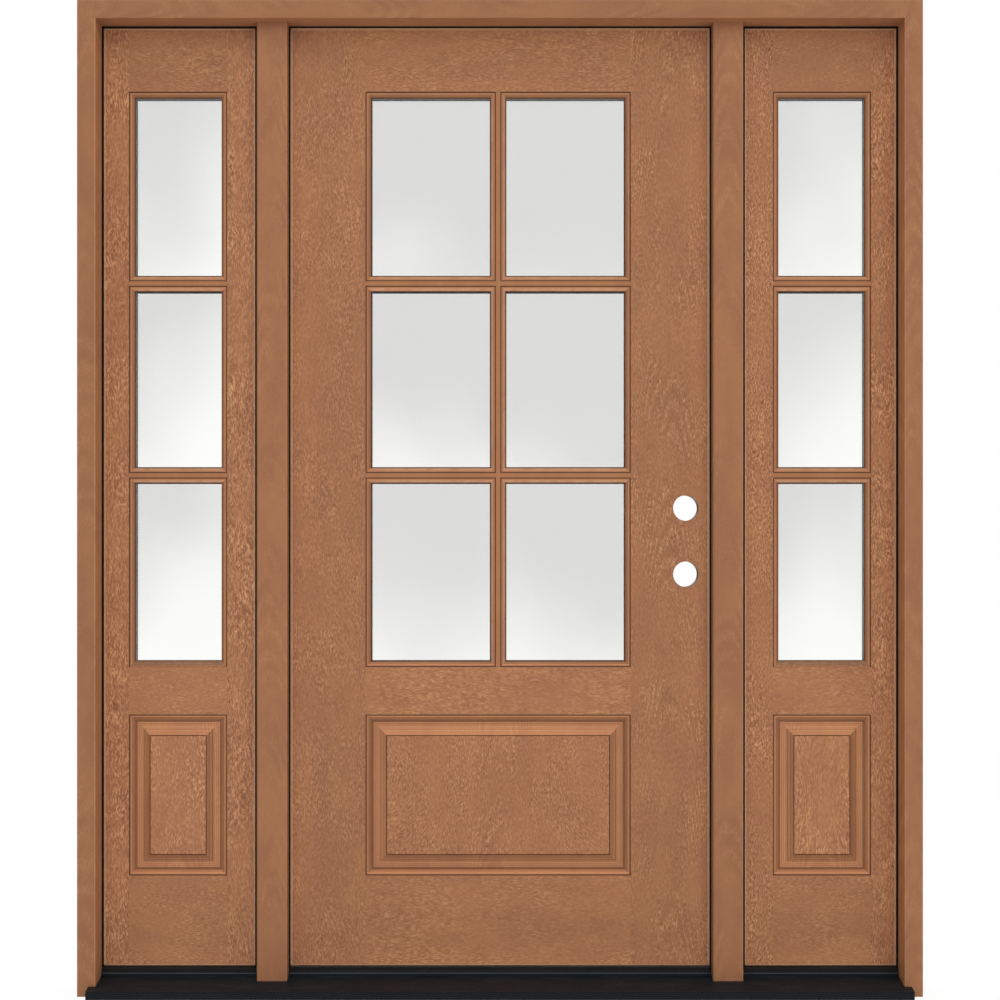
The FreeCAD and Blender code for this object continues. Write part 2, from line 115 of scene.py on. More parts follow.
def span(node, axis):
    """A node's lowest and highest place along one axis."""
    low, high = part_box(node)
    return low[axis], high[axis]


def middle(node, axis):
    """The middle of a node along one axis."""
    return sum(span(node, axis)) / 2


# Settings

def colour_setting(name, description, default):
    """A colour that a user may change."""
    return FloatVectorProperty(name=name, description=description, subtype="COLOR", size=3,
                               min=0.0, max=1.0, default=default)


def length_setting(name, description, millimetres):
    """A length that a user may change."""
    return FloatProperty(name=name, description=description, subtype="DISTANCE", unit="LENGTH",
                         min=0.0, default=millimetres * MM)


class StainSettings(bpy.types.PropertyGroup):
    """Stain and grain of the wood."""
    mid: colour_setting("Stain", "Main colour of the stained wood", linear(147, 99, 67))
    light: colour_setting("Light grain", "Colour of the raised grain", linear(187, 138, 100))
    dark: colour_setting("Dark grain", "Colour of the pores", linear(102, 62, 40))
    # Partly stain collected in grooves, partly painted shade: the dark colour of quirks, feet and field
    # lines.
    gathered_stain_and_shade: colour_setting("Gathered stain", "Stain that collects in grooves", linear(64, 26, 8))
    # Partly thinner stain, partly painted highlight: the light colour on eased edges and along each slab's
    # visible border.
    worn_and_highlight: colour_setting("Worn edge", "Thin stain on eased edges", linear(188, 148, 120))
    raw: colour_setting("Raw wood", "Unstained wood inside the bores", linear(110, 80, 56))
    tick_width: length_setting("Grain width", "Width of one grain mark", 2.1)
    tick_length: length_setting("Grain length", "Length of one grain mark", 8.0)
    relief: length_setting("Grain relief", "Depth of the embossed grain", 0.22)


class GlazingSettings(bpy.types.PropertyGroup):
    """Insulating glass, spacers and glazing beads."""
    tint: colour_setting("Glass tint", "Lightest colour of the glass", linear(254, 254, 252))
    # The darker end of the painted reflection shade on the glass.
    shade: colour_setting("Glass shade", "Darkest colour of the glass", linear(236, 236, 235))
    spacer: colour_setting("Spacer", "Colour of the spacer bar", linear(150, 150, 148))
    bead: colour_setting("Glazing bead", "Colour of the sealant by the glass", linear(58, 38, 27))
    bead_width: length_setting("Bead width", "Width of the sealant line on the glass", 0.8)
    bead_height: length_setting("Bead height", "Height of the sealant line", 0.9)


class HardwareSettings(bpy.types.PropertyGroup):
    """Hinges, screws, sill and seals."""
    steel: colour_setting("Hinge steel", "Colour of the hinges and screws", linear(176, 172, 164))
    tread: colour_setting("Tread", "Colour of the coated tread", linear(22, 27, 30))
    # Painted highlight: the light band along the top of the tread.
    lip: colour_setting("Riser lip", "Colour of the rubbed lip", linear(70, 73, 77))
    cap: colour_setting("Threshold cap", "Colour of the cap and blocks", linear(28, 26, 26))
    seal: colour_setting("Seals", "Colour of the seals", linear(20, 8, 3))
    screw_radius: length_setting("Screw radius", "Radius of a hinge screw's head", 4.4)
    screws_per_leaf: IntProperty(name="Screws per leaf", description="Screws in each hinge leaf",
                                 min=2, max=6, default=4)


class StageSettings(bpy.types.PropertyGroup):
    """Floor, lamps and camera."""
    floor: colour_setting("Floor", "Colour of the floor", (0.90, 0.90, 0.90))
    ambient: FloatProperty(name="Ambient", description="Light from all round", min=0.0, default=1.02)
    key: FloatProperty(name="Key lamp", description="Strength of the key lamp", min=0.0, default=0.75)
    back: FloatProperty(name="Back lamp", description="Strength of the back lamp", min=0.0, default=0.5)
    distance: length_setting("Camera distance", "From the camera to the frame's front", 4000)
    height: length_setting("Camera height", "Height of the camera", 946)
    lens: FloatProperty(name="Lens", description="Focal length", subtype="DISTANCE_CAMERA", min=1.0,
                        default=69.55)


# Node building

def connect(tree, socket, value):
    """Links an output into a socket, or sets the socket's own value."""
    if isinstance(value, bpy.types.NodeSocket):
        tree.links.new(value, socket)
    else:
        socket.default_value = value


def fill(tree, node, values):
    """Links or sets a node's inputs by their names."""
    for name, value in values.items():
        connect(tree, node.inputs[name], value)


def add(tree, kind, inputs=None, **settings):
    """A new node with its settings, and its named inputs linked or set."""
    made = tree.nodes.new(kind)
    for name, value in settings.items():
        setattr(made, name, value)
    fill(tree, made, inputs or {})
    return made


def arithmetic(tree, operation, *values, clamp=False):
    """One math node's result."""
    made = add(tree, "ShaderNodeMath", operation=operation, use_clamp=clamp)
    for socket, value in zip(made.inputs, values):
        connect(tree, socket, value)
    return made.outputs[0]


def times(tree, first, second, clamp=False):
    """First times second."""
    return arithmetic(tree, "MULTIPLY", first, second, clamp=clamp)


def times_plus(tree, first, second, third, clamp=False):
    """First times second, plus third."""
    return arithmetic(tree, "MULTIPLY_ADD", first, second, third, clamp=clamp)


def plus(tree, first, second, clamp=False):
    """First plus second."""
    return arithmetic(tree, "ADD", first, second, clamp=clamp)


def minus(tree, first, second):
    """First minus second."""
    return arithmetic(tree, "SUBTRACT", first, second)


def larger(tree, first, second):
    """The larger of two values."""
    return arithmetic(tree, "MAXIMUM", first, second)


def smaller(tree, first, second):
    """The smaller of two values, or the second while there is no first."""
    return second if first is None else arithmetic(tree, "MINIMUM", first, second)


def ramp(tree, value, low, high, start=0.0, end=1.0):
    """A smooth step of value between low and high."""
    made = add(tree, "ShaderNodeMapRange", interpolation_type="SMOOTHSTEP",
               inputs={"Value": value, "From Min": low, "From Max": high, "To Min": start, "To Max": end})
    return made.outputs[0]


def band(tree, value, start, end, soft=0.25 * MM):
    """One where value lies between start and end, with soft ends."""
    return times(tree, ramp(tree, minus(tree, value, start), -soft, soft),
                 ramp(tree, minus(tree, end, value), -soft, soft))


def rgba(colour):
    """A colour with its alpha, or a socket as it is."""
    if isinstance(colour, bpy.types.NodeSocket):
        return colour
    return tuple(colour) + (1.0,)


def mix(tree, factor, first, second, mode="MIX"):
    """Two colours mixed by a factor."""
    made = add(tree, "ShaderNodeMix", data_type="RGBA", blend_type=mode)
    connect(tree, made.inputs[0], factor)
    connect(tree, made.inputs[6], rgba(first))
    connect(tree, made.inputs[7], rgba(second))
    return made.outputs[2]


def noise(tree, vector, scale=1.0, detail=2.0, roughness=0.5):
    """Noise from 0 to 1."""
    made = add(tree, "ShaderNodeTexNoise",
               inputs={"Vector": vector, "Scale": scale, "Detail": detail, "Roughness": roughness})
    return made.outputs[0]


def stretched(tree, vector, factors, shift=(0.0, 0.0, 0.0)):
    """A vector with each part multiplied by its own factor, then shifted."""
    made = add(tree, "ShaderNodeVectorMath", operation="MULTIPLY_ADD")
    for socket, value in zip(made.inputs, (vector, factors, shift)):
        connect(tree, socket, value)
    return made.outputs[0]


def patchy(tree, vector, scales, detail=1.0, roughness=0.5):
    """Noise from 0 to 1 with its own scale along each axis."""
    return noise(tree, stretched(tree, vector, scales), detail=detail, roughness=roughness)


def parts(tree, vector):
    """The three parts of a vector."""
    return add(tree, "ShaderNodeSeparateXYZ", inputs={"Vector": vector}).outputs


def joined(tree, x, y, z):
    """A vector from its three parts."""
    return add(tree, "ShaderNodeCombineXYZ", inputs={"X": x, "Y": y, "Z": z}).outputs[0]


def raised(tree, height, strength, distance):
    """The normal of a surface that a height raises."""
    made = add(tree, "ShaderNodeBump", inputs={"Height": height, "Strength": strength, "Distance": distance})
    return made.outputs[0]


def seen_white(tree):
    """One for what the camera sees itself, in gloss or through glass, and zero for other rays."""
    ray = tree.nodes.new("ShaderNodeLightPath").outputs
    return plus(tree, plus(tree, ray["Is Camera Ray"], ray["Is Glossy Ray"]), ray["Is Transmission Ray"],
                clamp=True)


SOCKETS = {"colour": "NodeSocketColor", "number": "NodeSocketFloat", "vector": "NodeSocketVector"}


def new_group(name, inputs, outputs):
    """An empty node group with sockets named by kind: its tree, its input sockets and its output node."""
    tree = bpy.data.node_groups.new(name, "ShaderNodeTree")
    for side, kinds in (("INPUT", inputs), ("OUTPUT", outputs)):
        for kind, names in kinds.items():
            for socket in names.split(", "):
                tree.interface.new_socket(socket, in_out=side, socket_type=SOCKETS[kind])
    given = tree.nodes.new("NodeGroupInput").outputs
    result = tree.nodes.new("NodeGroupOutput")
    return tree, given, result


def place_group(tree, name, inputs):
    """A shared effect placed in a tree with its own values, built the first time it is asked for."""
    made = tree.nodes.new("ShaderNodeGroup")
    made.node_tree = bpy.data.node_groups.get(name) or GROUP_MAKERS[name]()
    fill(tree, made, inputs)
    return made.outputs


# Shared effects

def stained_grain_group():
    """Stained wood with its grain along Z: short embossed marks, faint arches and cloudy tone."""
    tree, given, result = new_group(
        "stained_grain",
        {"vector": "Position", "colour": "Light, Mid, Dark",
         "number": "Marks, Mark Width, Mark Length, Figure, Lean, Arch Centre, Clouds, Seed"},
        {"colour": "Color", "number": "Height, Roughness"})
    seed = given["Seed"]
    place = stretched(tree, given["Position"], (1.0, 1.0, 1.0),
                      joined(tree, seed, times(tree, seed, 0.37), times(tree, seed, 1.7)))
    x, y, z = parts(tree, place)
    own_x, _, own_z = parts(tree, given["Position"])
    off_centre = minus(tree, own_x, given["Arch Centre"])

    sway = patchy(tree, place, (55.0, 55.0, 17.0), detail=0.0)
    swing = times(tree, given["Lean"], arithmetic(tree, "SINE", times_plus(tree, own_z, 13.0, seed)))
    swayed = times_plus(tree, sway, 0.016, times_plus(tree, off_centre, swing, x))
    cells = joined(tree, *(arithmetic(tree, "DIVIDE", part, given[size]) for part, size in (
        (swayed, "Mark Width"), (y, "Mark Width"), (z, "Mark Length"))))
    mark = noise(tree, cells, detail=1.5, roughness=0.55)
    fine = patchy(tree, cells, (2.3, 2.3, 1.6))
    wave = plus(tree, times_plus(tree, mark, 4.2, -2.1), times_plus(tree, fine, 1.8, -0.9))
    marks = minus(tree, ramp(tree, wave, 0.10, 0.60), ramp(tree, wave, -0.60, -0.10, 1.0, 0.0))
    patches = patchy(tree, place, (13.0, 13.0, 7.0))
    dense = ramp(tree, patches, 0.36, 0.62, 0.5, 1.0)

    drop = times(tree, times(tree, off_centre, off_centre), 75.0)
    wander = patchy(tree, place, (16.0, 16.0, 4.0))
    arch = times_plus(tree, plus(tree, own_z, drop), 110.0, times(tree, wander, 22.0))
    coming = ramp(tree, patches, 0.42, 0.62, 0.1, 1.3)
    bands = times(tree, arithmetic(tree, "SINE", arch), times(tree, coming, given["Figure"]))

    strength = times(tree, times(tree, dense, given["Marks"]), times_plus(tree, bands, 0.5, 1.0))
    relief = times(tree, marks, strength)
    shade = times_plus(tree, bands, 0.16, relief)
    lighter = mix(tree, times(tree, shade, 0.95, clamp=True), given["Mid"], given["Light"])
    darker = mix(tree, times(tree, shade, -0.80, clamp=True), lighter, given["Dark"])
    cloud = patchy(tree, place, (17.0, 17.0, 6.5), detail=2.0, roughness=0.6)
    tint = mix(tree, ramp(tree, cloud, 0.35, 0.65), (0.95, 0.92, 0.96), (1.05, 1.07, 1.03))
    fill(tree, result, {
        "Color": mix(tree, given["Clouds"], darker, tint, mode="MULTIPLY"),
        "Height": times_plus(tree, times(tree, marks, given["Marks"]), 0.19, 0.5),
        "Roughness": times_plus(tree, relief, -0.03, times_plus(tree, cloud, 0.16, 0.40))})
    return tree


def inset_group():
    """How far a place lies inside an upright rectangle, below zero outside it."""
    tree, given, result = new_group("inset", {"vector": "Position, Low, High"}, {"number": "Inset"})
    place, low, high = (parts(tree, given[name]) for name in ("Position", "Low", "High"))
    nearest = None
    for axis in (0, 2):
        for first, second in ((place[axis], low[axis]), (high[axis], place[axis])):
            nearest = smaller(tree, nearest, minus(tree, first, second))
    fill(tree, result, {"Inset": nearest})
    return tree


def moulding_stain_and_shade_group():
    """Stain gathered in the quirk, at the foot and at the field line, and thinned along the bevel."""
    tree, given, result = new_group(
        "moulding_stain_and_shade",
        {"vector": "Position, Low, High",
         "number": "Quirk Width, Foot Start, Foot End, Foot Stain, Field Start, Field End"},
        {"number": "Line, Moulded, Streak, Bevel"})
    inset = place_group(tree, "inset", {name: given[name] for name in ("Position", "Low", "High")})["Inset"]
    # Dark lines in the quirk, at the foot and at the field line: partly stain collected there, partly painted
    # shade.
    line = band(tree, inset, 0.0, given["Quirk Width"])
    for start, end, strength in ((given["Foot Start"], given["Foot End"], given["Foot Stain"]),
                                 (given["Field Start"], given["Field End"], 1.0)):
        line = larger(tree, line, times(tree, band(tree, inset, start, end), strength))
    moulded = band(tree, inset, -0.5 * MM, given["Field Start"])
    bevel = band(tree, inset, given["Foot End"], given["Field Start"])
    # Painted shade across the bevel: lighter by the shelf, darker by the field.
    rise = ramp(tree, inset, STICKING_WIDTH + PANEL_SHELF, PANEL_MARGIN, 1.0, -1.0)
    streaks = noise(tree, joined(tree, times(tree, inset, 330.0), 0.0, 0.0), detail=1.0)
    broken = patchy(tree, given["Position"], (14.0, 14.0, 14.0))
    streak = times(tree, times_plus(tree, streaks, 4.0, -2.0), times_plus(tree, broken, 1.2, 0.4))
    fill(tree, result, {"Line": line, "Moulded": moulded, "Streak": times(tree, streak, moulded),
                        "Bevel": times(tree, rise, bevel)})
    return tree


def bar_stain_and_shade_group():
    """Stain gathered beside the bead and beside the glass of crossing muntins."""
    tree, given, result = new_group(
        "bar_stain_and_shade",
        {"vector": "Position", "number": "Upright, Low Bar, High Bar, Bead Half, Quirk Width, Foot"},
        {"number": "Line"})
    x, _, z = parts(tree, given["Position"])
    nearest = None
    for place, centre in ((x, "Upright"), (z, "Low Bar"), (z, "High Bar")):
        off = arithmetic(tree, "ABSOLUTE", minus(tree, place, given[centre]))
        nearest = smaller(tree, nearest, off)
    # Dark lines in the quirks and at the foot by the glass: partly stain collected there, partly painted
    # shade.
    quirk = band(tree, nearest, given["Bead Half"], plus(tree, given["Bead Half"], given["Quirk Width"]))
    foot = band(tree, nearest, minus(tree, given["Foot"], FOOT_LINE), NOWHERE)
    fill(tree, result, {"Line": larger(tree, quirk, foot)})
    return tree


def eased_edge_and_facing_light_group():
    """Thin stain on eased edges, broken up, and which way a face slopes."""
    tree, given, result = new_group(
        "eased_edge_and_facing_light", {"vector": "Position, Facing"}, {"number": "Edge, Up, Down, Left, Right"})
    x, y, z = (arithmetic(tree, "ABSOLUTE", part) for part in parts(tree, given["Facing"]))
    # Partly thinner stain, partly painted highlight: eased edges, found where a face turns between two axes.
    diagonal = larger(tree, larger(tree, smaller(tree, x, y), smaller(tree, y, z)), smaller(tree, x, z))
    broken = ramp(tree, patchy(tree, given["Position"], (60.0, 60.0, 25.0), detail=2.0), 0.3, 0.6, 0.45, 1.0)
    turned, _, upward = parts(tree, given["Facing"])
    # Painted light and shade: masks of faces turned up, down, left and right, which lighten or darken the
    # stain.
    slope_light = {name: ramp(tree, times(tree, part, sign), 0.05, 0.35) for name, part, sign in (
        ("Up", upward, 1), ("Down", upward, -1), ("Left", turned, -1), ("Right", turned, 1))}
    fill(tree, result, {"Edge": times(tree, ramp(tree, diagonal, 0.25, 0.6), broken), **slope_light})
    return tree


def handled_surface_group():
    """Fine streaks along X, smudges and a little dust on upward faces, for metal, plastic and rubber."""
    tree, given, result = new_group(
        "handled_surface",
        {"vector": "Position, Facing", "colour": "Base", "number": "Streaks, Dust, Base Roughness"},
        {"colour": "Color", "number": "Roughness, Height"})
    streak = patchy(tree, given["Position"], (9.0, 900.0, 900.0), detail=2.0)
    smudge = patchy(tree, given["Position"], (14.0, 60.0, 60.0), detail=3.0, roughness=0.6)
    grit = noise(tree, given["Position"], scale=1400.0, detail=1.0)
    streaked = times(tree, minus(tree, streak, 0.5), given["Streaks"])
    bright = plus(tree, times_plus(tree, streaked, 0.9, 1.0), times_plus(tree, smudge, 0.3, -0.15))
    streaky = mix(tree, 1.0, given["Base"], joined(tree, bright, bright, bright), mode="MULTIPLY")
    upward = ramp(tree, parts(tree, given["Facing"])[2], 0.2, 0.9)
    settled = times(tree, times(tree, upward, given["Dust"]), ramp(tree, smudge, 0.42, 0.70))
    rough = plus(tree, given["Base Roughness"], times_plus(tree, smudge, 0.24, -0.12))
    fill(tree, result, {
        "Color": mix(tree, settled, streaky, DUST),
        "Roughness": times_plus(tree, settled, 0.3, rough, clamp=True),
        "Height": times_plus(tree, grit, 0.4, streaked)})
    return tree


def painted_pane_shade_group():
    """A tone that darkens towards the top of every lite of a slab and drifts across it."""
    tree, given, result = new_group(
        "painted_pane_shade",
        {"vector": "Position, Low, High", "number": "Rows, Climb, Lean"},
        {"number": "Shade, Film"})
    place, low, high = (parts(tree, given[name]) for name in ("Position", "Low", "High"))

    def share(axis):
        """How far along the lites' field a place lies."""
        gone = minus(tree, place[axis], low[axis])
        return arithmetic(tree, "DIVIDE", gone, minus(tree, high[axis], low[axis]))

    climb = arithmetic(tree, "FRACT", times(tree, share(2), given["Rows"]))
    climb = times_plus(tree, share(2), given["Climb"], climb)
    leaning = times_plus(tree, share(0), given["Lean"], climb)
    drift = patchy(tree, given["Position"], (4.0, 4.0, 2.4))
    film = patchy(tree, given["Position"], (30.0, 30.0, 12.0))
    fill(tree, result, {"Shade": ramp(tree, times_plus(tree, drift, 1.2, leaning), 0.2, 1.5),
                        "Film": ramp(tree, film, 0.6, 0.9)})
    return tree


GROUP_MAKERS = {
    "stained_grain": stained_grain_group,
    "inset": inset_group,
    "moulding_stain_and_shade": moulding_stain_and_shade_group,
    "bar_stain_and_shade": bar_stain_and_shade_group,
    "eased_edge_and_facing_light": eased_edge_and_facing_light_group,
    "handled_surface": handled_surface_group,
    "painted_pane_shade": painted_pane_shade_group,
}


# Materials

def new_material(name):
    """A material with its tree, its shader and its object coordinates."""
    material = bpy.data.materials.new(name)
    material.use_nodes = True
    tree = material.node_tree
    shader = tree.nodes["Principled BSDF"]
    place = tree.nodes.new("ShaderNodeTexCoord").outputs
    return material, tree, shader, place


def toned(colour, tone):
    """A colour made lighter or darker by a factor."""
    return rgba(min(1.0, channel * tone) for channel in colour)


def grain_vector(tree, place, axis):
    """Object coordinates turned so that the grain runs along Z."""
    x, y, z = parts(tree, place)
    return {"X": joined(tree, z, y, x), "Z": place}[axis]


def outset(box, reach):
    """The low and high corners of an upright rectangle moved outwards."""
    low, high = box
    return (low[0] - reach, 0.0, low[2] - reach), (high[0] + reach, 0.0, high[2] + reach)


def lite_field(slab):
    """Low and high corners of the rectangle of a slab's lites and their mouldings."""
    return outset(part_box(slab + "_glass"), STICKING_WIDTH - GLASS_BITE)


def moulding_stain_and_shade(tree, position, slab, around):
    """Stain lines, moulded zone and streaks of the mouldings round a slab's lites, its panel or both."""
    rings = {
        "lites": (lite_field(slab),
                  {"Foot Start": STICKING_WIDTH - FOOT_LINE, "Foot End": STICKING_WIDTH + 0.5 * MM,
                   "Foot Stain": 0.8, "Field Start": NOWHERE, "Field End": NOWHERE}),
        "panel": (outset(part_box(slab + "_panel"), STICKING_WIDTH - PANEL_BITE),
                  {"Foot Start": STICKING_WIDTH - 0.5 * MM, "Foot End": STICKING_WIDTH + PANEL_SHELF,
                   "Foot Stain": 0.44, "Field Start": PANEL_MARGIN, "Field End": PANEL_MARGIN + PANEL_QUIRK}),
    }
    found = {}
    for ring in around:
        (low, high), widths = rings[ring]
        made = place_group(tree, "moulding_stain_and_shade", {
            "Position": position, "Low": low, "High": high, "Quirk Width": QUIRK_WIDTH, **widths})
        for name, joining in (("Line", larger), ("Moulded", larger), ("Streak", plus), ("Bevel", plus)):
            found[name] = made[name] if name not in found else joining(tree, found[name], made[name])
    return found


def bar_stain_and_shade(tree, position, slab):
    """Stain lines of a slab's muntins."""
    low, high = lite_field(slab)
    rise = (high[2] - low[2]) / LITE_ROWS
    return place_group(tree, "bar_stain_and_shade", {
        "Position": position, "Upright": (low[0] + high[0]) / 2 if LITE_COLUMNS[slab] > 1 else NOWHERE,
        "Low Bar": low[2] + rise, "High Bar": high[2] - rise, "Bead Half": MUNTIN_BEAD / 2,
        "Quirk Width": QUIRK_WIDTH, "Foot": MUNTIN_WIDTH / 2})["Line"]


def slab_lines(tree, position, facing, slab, around):
    """Gathered stain and streaks on a slab's member, the light line and the thinner stain by its border."""
    if "muntins" in around:
        return {"Line": bar_stain_and_shade(tree, position, slab)}
    low, high = visible_border(slab)
    inset = place_group(tree, "inset", {"Position": position, "Low": low, "High": high})["Inset"]
    outward = ramp(tree, parts(tree, facing)[1], -0.9, -0.5, 1.0, 0.0)
    found = moulding_stain_and_shade(tree, position, slab, around)
    # Painted highlight: a light line along the visible border of the slab's face.
    found["Border Highlight"] = times(tree, ramp(tree, inset, *BORDER_HIGHLIGHT, 0.45, 0.0), outward)
    # Painted light: lighter stain fading inwards from the border, against the shade of the stops and head.
    found["Reveal Light"] = times(tree, ramp(tree, inset, *REVEAL_LIGHT, 1.0, 0.0), outward)
    return found


def stained_wood(name, axis, tone, look, seed, slab=None, bores=()):
    """Stained wood for one member, finished by its look."""
    stain = bpy.context.scene.door_stain
    material, tree, shader, place = new_material(name)
    position, facing = place["Object"], place["Normal"]
    found = dict.fromkeys(("Line", "Moulded", "Streak", "Bevel", "Border Highlight", "Reveal Light"), 0.0)
    if slab is not None:
        found.update(slab_lines(tree, position, facing, slab, look["around"]))
    plain = minus(tree, 1.0, found["Moulded"])
    grain = place_group(tree, "stained_grain", {
        "Position": grain_vector(tree, position, axis), "Light": toned(stain.light, tone),
        "Mid": toned(stain.mid, tone), "Dark": toned(stain.dark, tone),
        "Marks": times(tree, times_plus(tree, plain, 0.85, 0.15), look["marks"]),
        "Mark Width": stain.tick_width, "Mark Length": stain.tick_length, "Figure": look["figure"],
        "Lean": look["lean"], "Arch Centre": look["arch"], "Clouds": look["clouds"], "Seed": seed * 1.37})
    # Eased-edge highlight and facing masks for the painted light and shade below.
    wear = place_group(tree, "eased_edge_and_facing_light", {"Position": position, "Facing": facing})
    worn_and_highlight = times(tree, times(tree, wear["Edge"], look["wear"]), plain)
    # Light colour on eased edges, partly thinner stain and partly painted highlight, and along the visible
    # border as a painted highlight.
    colour = mix(tree, larger(tree, worn_and_highlight, found["Border Highlight"]), grain["Color"], stain.worn_and_highlight)
    # Painted shade across the bevel, weaker on bevels that face up.
    bevel_shade_strength = times_plus(tree, wear["Up"], -0.08, 0.16)
    stain_and_painted_light = 1.0
    # Painted light and shade: lighter stain near the frame, shade across the bevel and faces lighter or
    # darker by the way they turn, with streaks of thinner stain.
    for effect, strength in (("Streak", 0.45), ("Reveal Light", 0.22), ("Bevel", bevel_shade_strength)):
        stain_and_painted_light = times_plus(tree, found[effect], strength, stain_and_painted_light)
    for way in ("up", "down", "left", "right"):
        stain_and_painted_light = times_plus(tree, wear[way.title()], look[way], stain_and_painted_light)
    colour = mix(tree, 1.0, colour, joined(tree, stain_and_painted_light, stain_and_painted_light, stain_and_painted_light), mode="MULTIPLY")
    # Dark colour in quirks, feet and field lines: partly stain collected there, partly painted shade.
    colour = mix(tree, times(tree, found["Line"], 0.86), colour, stain.gathered_stain_and_shade)
    for centre, radius in bores:
        beside = add(tree, "ShaderNodeVectorMath", operation="DISTANCE")
        connect(tree, beside.inputs[0], stretched(tree, position, (1.0, 0.0, 1.0)))
        connect(tree, beside.inputs[1], (centre[0], 0.0, centre[2]))
        inside = ramp(tree, beside.outputs["Value"], radius * 1.002, radius * 1.012, 0.9, 0.0)
        colour = mix(tree, inside, colour, stain.raw)
    fill(tree, shader, {
        "Base Color": colour, "Roughness": grain["Roughness"], "Specular IOR Level": 0.22,
        "Normal": raised(tree, grain["Height"], 0.8, stain.relief * 4)})
    return material


def handled(name, colour, roughness, metallic=0.0, specular=0.5, streaks=0.3, dust=0.0, relief=0.03,
            lip=None):
    """Metal, plastic or rubber with streaks, smudges and dust; lip is a band of heights and its colour."""
    material, tree, shader, place = new_material(name)
    base = rgba(colour)
    if lip is not None:
        heights, lip_colour = lip
        # Painted highlight band across the given heights.
        base = mix(tree, band(tree, parts(tree, place["Object"])[2], *heights), colour, lip_colour)
    surface = place_group(tree, "handled_surface", {
        "Position": place["Object"], "Facing": place["Normal"], "Base": base,
        "Streaks": streaks, "Dust": dust, "Base Roughness": roughness})
    fill(tree, shader, {
        "Base Color": surface["Color"], "Roughness": surface["Roughness"], "Metallic": metallic,
        "Specular IOR Level": specular, "Normal": raised(tree, surface["Height"], 0.5, relief * MM)})
    return material


def glass_material(slab):
    """Clear float glass, a little darker towards the top of each lite, that throws light shadows."""
    glazing = bpy.context.scene.door_glazing
    material, tree, shader, place = new_material(slab + "_float_glass")
    low, high = lite_field(slab)
    climb, lean = PANE_SHADE_DRIFT[slab]
    pane = place_group(tree, "painted_pane_shade", {
        "Position": place["Object"], "Low": low, "High": high, "Rows": LITE_ROWS,
        "Climb": climb, "Lean": lean})
    ray = tree.nodes.new("ShaderNodeLightPath").outputs["Is Shadow Ray"]
    fill(tree, shader, {
        # Painted reflection shade: the glass colour runs from tint to shade over each lite.
        "Base Color": mix(tree, pane["Shade"], glazing.tint, glazing.shade),
        "Roughness": times(tree, pane["Film"], 0.03), "Alpha": times_plus(tree, ray, -0.88, 1.0),
        "Transmission Weight": 1.0, "IOR": 1.45})
    return material


def dress(node, material):
    """Gives a CAD node or a piece one material."""
    finishes = (frame["nodes"][node] if isinstance(node, str) else node).data.materials
    if not finishes:
        finishes.append(material)
    for index in range(len(finishes)):
        finishes[index] = material


# Mesh building

def new_object(name, build):
    """A linked object whose mesh a builder function makes."""
    mesh = bpy.data.meshes.new(name)
    builder = bmesh.new()
    build(builder)
    builder.to_mesh(mesh)
    builder.free()
    made = bpy.data.objects.new(name, mesh)
    bpy.context.scene.collection.objects.link(made)
    return made


def new_piece(name, build, body, material):
    """A piece with its faces turned outwards, riding on a body."""
    def build_outwards(builder):
        build(builder)
        bmesh.ops.recalc_face_normals(builder, faces=builder.faces[:])

    piece = new_object(name, build_outwards)
    piece.data.shade_smooth()
    piece.data.set_sharp_from_angle(angle=SHARP_ANGLE)
    dress(piece, material)
    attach(piece, body)
    return piece


def join_rows(builder, first, second):
    """Faces between two closed rows of as many vertices."""
    for index in range(len(first)):
        after = (index + 1) % len(first)
        builder.faces.new((first[index], first[after], second[after], second[index]))


def run_section(builder, stations, section, closed):
    """Runs a section of (inward, y) points through corner stations of (x, z, inward x, inward z)."""
    rows = [[builder.verts.new((x + inward_x * u, y, z + inward_z * u)) for u, y in section]
            for x, z, inward_x, inward_z in stations]
    for first, second in zip(rows, rows[1:]):
        join_rows(builder, first, second)
    if closed:
        join_rows(builder, rows[-1], rows[0])
    else:
        builder.faces.new(rows[0])
        builder.faces.new(rows[-1])


def ring_stations(low, high):
    """The four mitred corners of an upright rectangle, from its low and high (x, z) corners."""
    return [(low[0], low[1], 1, 1), (high[0], low[1], -1, 1),
            (high[0], high[1], -1, -1), (low[0], high[1], 1, -1)]


def rounded_section(u0, u1, y0, y1, radius, steps=5):
    """A rounded rectangle of (inward, y) points."""
    points = []
    corners = ((u1 - radius, y1 - radius, 0), (u0 + radius, y1 - radius, 90),
               (u0 + radius, y0 + radius, 180), (u1 - radius, y0 + radius, 270))
    for u, y, start in corners:
        for step in range(steps + 1):
            angle = math.radians(start + 90 * step / steps)
            points.append((u + radius * math.cos(angle), y + radius * math.sin(angle)))
    return points


def lites(slab):
    """The clear rectangles between a slab's sticking and muntins, as (low, high) corners in x and z."""
    field_low, field_high = lite_field(slab)
    bounds = []
    for axis, count in ((0, LITE_COLUMNS[slab]), (2, LITE_ROWS)):
        low, high = field_low[axis], field_high[axis]
        marks = [low + (high - low) * index / count for index in range(count + 1)]
        bounds.append([(marks[index] + (STICKING_WIDTH if index == 0 else MUNTIN_WIDTH / 2),
                        marks[index + 1] - (STICKING_WIDTH if index == count - 1 else MUNTIN_WIDTH / 2))
                       for index in range(count)])
    return [((x0, z0), (x1, z1)) for x0, x1 in bounds[0] for z0, z1 in bounds[1]]


# Slabs

